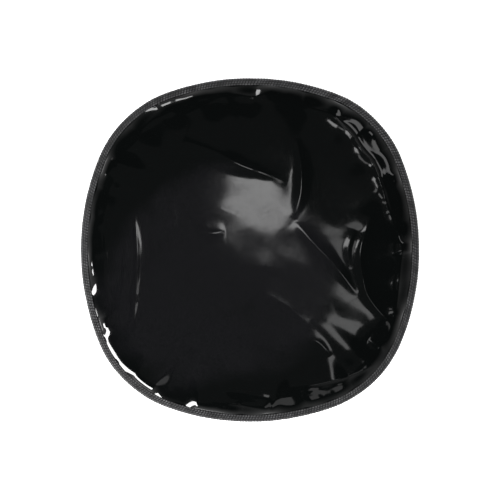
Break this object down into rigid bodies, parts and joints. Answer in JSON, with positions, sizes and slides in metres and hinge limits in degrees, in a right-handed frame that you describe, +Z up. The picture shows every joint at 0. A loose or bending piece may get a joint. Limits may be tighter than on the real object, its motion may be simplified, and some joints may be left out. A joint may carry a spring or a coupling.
{
  "type": "film changing bag",
  "caption": "Free-standing light-tight changing bag: a hoop-framed fabric drum with a glossy film lid closed by a zip, elastic-cuffed arm sleeves and swinging grab handles.",
  "frame": {"origin": "middle of the base's underside, on the surface that the bag stands on", "axes": "+Z up, -Y towards the front where the arm sleeves and the zip's closed end are, +X to the right seen from the front"},
  "size_m": [0.38, 0.386, 0.2096],
  "materials": {
    "film": "high gloss coated film",
    "braid": "woven tape",
    "cloth": "coated matt cloth",
    "lining": "light-tight coated lining",
    "foam": "open foam",
    "board": "stiff board",
    "steel": "bright wire",
    "fibreglass": "smooth rod",
    "nylon": "nylon coil",
    "black_metal": "black coated metal",
    "elastic": "covered elastic",
    "webbing": "woven webbing"
  },
  "bodies": {
    "bag": {"base_cover": "cloth", "base_board": "board", "base_lining": "lining", "base_binding": "braid", "base_hoop": "steel", "wall_front": "cloth", "wall_rear": "cloth", "wall_lining": "lining", "side_seam_left": "braid", "side_seam_right": "braid", "stay_front": "fibreglass", "stay_side_left": "fibreglass", "stay_side_right": "fibreglass", "stay_rear_left": "fibreglass", "stay_rear_right": "fibreglass", "rim_hoop": "steel", "zip_tape_lower": "webbing", "zip_coil_lower": "nylon", "light_flap": "lining", "hinge_tape": "cloth", "zip_stop_left": "black_metal", "zip_stop_right": "black_metal", "sleeve_collar_left": "webbing", "sleeve_collar_right": "webbing", "sleeve_left": "cloth", "sleeve_right": "cloth", "handle_loop_left_front": "webbing", "handle_loop_left_rear": "webbing", "handle_loop_right_front": "webbing", "handle_loop_right_rear": "webbing"},
    "lid": {"lid_film": "film", "lid_pad": "foam", "lid_lining": "lining", "lid_binding": "braid", "lid_hoop": "steel", "lid_skirt": "cloth", "zip_tape_upper": "webbing", "zip_coil_upper": "nylon"},
    "slider_left": {"zip_slider_left": "black_metal"},
    "pull_left": {"zip_pull_left": "webbing"},
    "cuff_left": {"cuff_left": "cloth", "cuff_elastic_left": "elastic"},
    "handle_left": {"handle_left": "webbing", "handle_ring_left_front": "steel", "handle_ring_left_rear": "steel"},
    "slider_right": {"zip_slider_right": "black_metal"},
    "pull_right": {"zip_pull_right": "webbing"},
    "cuff_right": {"cuff_right": "cloth", "cuff_elastic_right": "elastic"},
    "handle_right": {"handle_right": "webbing", "handle_ring_right_front": "steel", "handle_ring_right_rear": "steel"}
  },
  "joints": [
    {"name": "lid_hinge", "type": "hinge", "parent": "bag", "child": "lid", "pos_m": [0, 0.18125, 0.178], "axis": [-1, 0, 0], "range_deg": [0, 150], "deforming": ["hinge_tape"]},
    {"name": "slider_travel_left", "type": "hinge", "parent": "bag", "child": "slider_left", "pos_m": [0, 0.082, 0.178], "axis": [0, 0, -1], "range_deg": [0, 15.5]},
    {"name": "pull_swing_left", "type": "hinge", "parent": "slider_left", "child": "pull_left", "pos_m": [-0.01231, -0.18902, 0.178], "axis": [-0.999, 0.0454, 0], "range_deg": [-10, 150]},
    {"name": "cuff_pull_left", "type": "slide", "parent": "bag", "child": "cuff_left", "axis": [-0.4067, -0.9135, 0], "range_m": [0, 0.16], "deforming": ["sleeve_left"]},
    {"name": "handle_swing_left", "type": "hinge", "parent": "bag", "child": "handle_left", "pos_m": [-0.17399, 0, 0.13], "axis": [0, 1, 0], "range_deg": [-8, 160]},
    {"name": "slider_travel_right", "type": "hinge", "parent": "bag", "child": "slider_right", "pos_m": [0, 0.082, 0.178], "axis": [0, 0, 1], "range_deg": [0, 15.5]},
    {"name": "pull_swing_right", "type": "hinge", "parent": "slider_right", "child": "pull_right", "pos_m": [0.01231, -0.18902, 0.178], "axis": [-0.999, -0.0454, 0], "range_deg": [-10, 150]},
    {"name": "cuff_pull_right", "type": "slide", "parent": "bag", "child": "cuff_right", "axis": [0.4067, -0.9135, 0], "range_m": [0, 0.16], "deforming": ["sleeve_right"]},
    {"name": "handle_swing_right", "type": "hinge", "parent": "bag", "child": "handle_right", "pos_m": [0.17399, 0, 0.13], "axis": [0, -1, 0], "range_deg": [-8, 160]}
  ]
}
